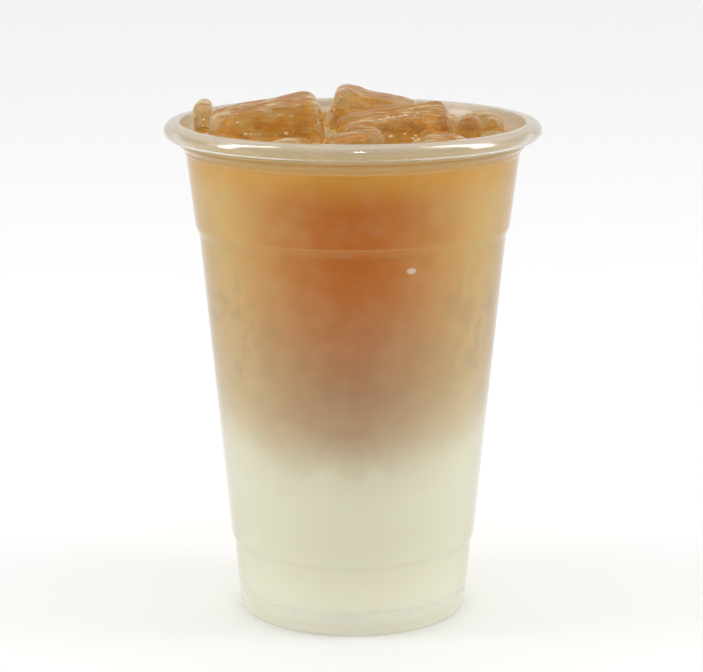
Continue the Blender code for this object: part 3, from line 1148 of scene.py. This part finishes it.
def add_light(name, lights_surfaces, azimuth, elevation, distance, width, height, watts):
    """A rectangular soft light that faces the cup."""
    data = bpy.data.lights.new(name, "AREA")
    data.shape = "RECTANGLE"
    data.size = width
    data.size_y = height
    data.energy = watts
    lamp = new_object(name, data)
    lamp.visible_diffuse = lights_surfaces
    lamp.visible_camera = False
    a, e = math.radians(azimuth), math.radians(elevation)
    away = Vector((math.sin(a) * math.cos(e), -math.cos(a) * math.cos(e), math.sin(e)))
    lamp.location = AIM + away * distance
    lamp.rotation_euler = away.to_track_quat("Z", "Y").to_euler()


def add_camera(stage):
    """The camera at the photo's place, with the cup's axis a little right of the frame's middle."""
    data = bpy.data.cameras.new("camera")
    data.sensor_width = SENSOR_WIDTH
    data.lens = stage.lens
    data.shift_x = -AXIS_RIGHT / FRAME_WIDTH
    camera = new_object("camera", data)
    camera.location = (0.0, -stage.distance, stage.height)
    camera.rotation_euler = (math.pi / 2 - stage.tilt, 0.0, 0.0)
    bpy.context.scene.camera = camera


class MILKTEA_OT_cup(bpy.types.Operator):
    """Build the clear cup"""

    bl_idname = "milktea.cup"
    bl_label = "Cup"

    def execute(self, context):
        cup = context.scene.milktea_cup
        piece = turned("clear_cup", cup_section(cup.wall), clear_plastic(cup))
        dress(piece, "cup", "cup")
        return {"FINISHED"}


class MILKTEA_OT_ice(bpy.types.Operator):
    """Build every piece of melting ice"""

    bl_idname = "milktea.ice"
    bl_label = "Ice"

    def execute(self, context):
        ice = context.scene.milktea_ice
        finish = wet_ice(ice)
        tree = melting_tree()
        for number, node in enumerate(ICE_NODES):
            piece = melted_piece(node, number, ice, tree, finish)
            dress(piece, "ice", node)
        return {"FINISHED"}


class MILKTEA_OT_drink(bpy.types.Operator):
    """Build the layered drink, with a pocket for each piece of ice"""

    bl_idname = "milktea.drink"
    bl_label = "Milk and tea"

    def execute(self, context):
        drink = context.scene.milktea_drink
        wall = context.scene.milktea_cup.wall
        finish = layered_drink(drink)
        piece = turned("milk_and_tea", drink_section(wall, drink.into), finish)
        heap = whole_heap()
        values = {
            "Ice": heap,
            "Level": TEA_TOP - DRINK_RISE,
            "Rise": drink.wetting,
            "Width": drink.wetting_width,
            "Finish": finish,
        }
        add_tree(piece, wetting_tree(), values)
        made_plain(piece)
        remove_object(heap)
        cut_pockets(piece)
        dress(piece, "tea", "milk", "tea")
        return {"FINISHED"}


class MILKTEA_OT_bubbles(bpy.types.Operator):
    """Build the air bubbles that cling to the wall and the ice"""

    bl_idname = "milktea.bubbles"
    bl_label = "Bubbles"

    def execute(self, context):
        bubbles = context.scene.milktea_bubbles
        wall = context.scene.milktea_cup.wall
        finish = film_of_air(bubbles)
        for number, (height, bearing, half_width, half_height) in enumerate(WALL_BUBBLES):
            size = (half_width * bubbles.size, half_height * bubbles.size, bubbles.half_depth)
            piece = wall_bubble(f"air_bubble_{number}", height, bearing, *size, wall, finish)
            dress(piece, "tea")
        tree = bubble_tree()
        for number, (node, first, last, count) in enumerate(BUBBLE_ROWS):
            row = new_object(f"small_bubbles_{number}", points_mesh("row", []))
            values = {
                "On": bpy.data.objects[ice_piece_name(node)],
                "Start": first,
                "End": last,
                "Count": count,
                "Spread": bubbles.spread,
                "Smallest": bubbles.smallest,
                "Largest": bubbles.largest,
                "Seed": bubbles.seed + number,
                "Finish": finish,
            }
            add_tree(row, tree, values)
            dress(made_plain(row), "ice")
        return {"FINISHED"}


class MILKTEA_OT_stage(bpy.types.Operator):
    """Set the floor, the lights and the camera"""

    bl_idname = "milktea.stage"
    bl_label = "Stage"

    def execute(self, context):
        stage = context.scene.milktea_stage
        half = stage.floor_size / 2
        mesh = bpy.data.meshes.new("floor")
        corners = [(-half, -half, 0.0), (half, -half, 0.0), (half, half, 0.0), (-half, half, 0.0)]
        mesh.from_pydata(corners, [], [(0, 1, 2, 3)])
        mesh.materials.append(matte_floor(stage))
        new_object("floor", mesh)
        for lights_surfaces, group in ((True, LIGHTS), (False, GLINTS)):
            for name, settings in group.items():
                add_light(name, lights_surfaces, *settings)
        add_camera(stage)
        world = bpy.data.worlds.new("room")
        world.use_nodes = True
        world.node_tree.nodes.clear()
        nodes = Nodes(world.node_tree)
        x, y, z = nodes.axes(nodes.add("ShaderNodeTexCoord", output="Generated"))
        backdrop = (stage.backdrop - stage.horizon) * y.between(0.3, 0.8)
        sky = stage.horizon + backdrop.or_else((stage.sky - stage.horizon) * z.between(0.1, 0.75))
        seen = nodes.add("ShaderNodeLightPath", output="Is Camera Ray")
        sky = sky.or_else(seen * stage.backdrop)
        light = nodes.add("ShaderNodeBackground", {}, {"Color": (1.0, 1.0, 1.0, 1.0), "Strength": sky})
        nodes.add("ShaderNodeOutputWorld", {}, {"Surface": light})
        context.scene.world = world
        context.scene.view_settings.view_transform = "Standard"
        return {"FINISHED"}


class MILKTEA_PT_panel(bpy.types.Panel):
    """Lists the pieces and their settings"""

    bl_idname = "MILKTEA_PT_panel"
    bl_label = "Iced milk tea"
    bl_space_type = "VIEW_3D"
    bl_region_type = "UI"
    bl_category = "Milk tea"

    def draw(self, context):
        for operator, settings in STEPS.items():
            box = self.layout.box()
            box.operator(operator)
            group = getattr(context.scene, settings)
            for name in group.bl_rna.properties.keys():
                if name not in ("rna_type", "name"):
                    box.prop(group, name)


STEPS = {
    "milktea.cup": "milktea_cup",
    "milktea.ice": "milktea_ice",
    "milktea.drink": "milktea_drink",
    "milktea.bubbles": "milktea_bubbles",
    "milktea.stage": "milktea_stage",
}
SETTINGS = {
    "milktea_cup": CupSettings,
    "milktea_ice": IceSettings,
    "milktea_drink": DrinkSettings,
    "milktea_bubbles": BubbleSettings,
    "milktea_stage": StageSettings,
}
CLASSES = (
    *SETTINGS.values(),
    MILKTEA_OT_cup,
    MILKTEA_OT_ice,
    MILKTEA_OT_drink,
    MILKTEA_OT_bubbles,
    MILKTEA_OT_stage,
    MILKTEA_PT_panel,
)


def register():
    for cls in CLASSES:
        bpy.utils.register_class(cls)
    for name, group in SETTINGS.items():
        setattr(bpy.types.Scene, name, PointerProperty(type=group))


def unregister():
    for name in SETTINGS:
        delattr(bpy.types.Scene, name)
    for cls in reversed(CLASSES):
        bpy.utils.unregister_class(cls)


def main():
    register()
    bpy.ops.milktea.cup()
    bpy.ops.milktea.ice()
    bpy.ops.milktea.drink()
    bpy.ops.milktea.bubbles()
    bpy.ops.milktea.stage()


if __name__ == "__main__":
    main()
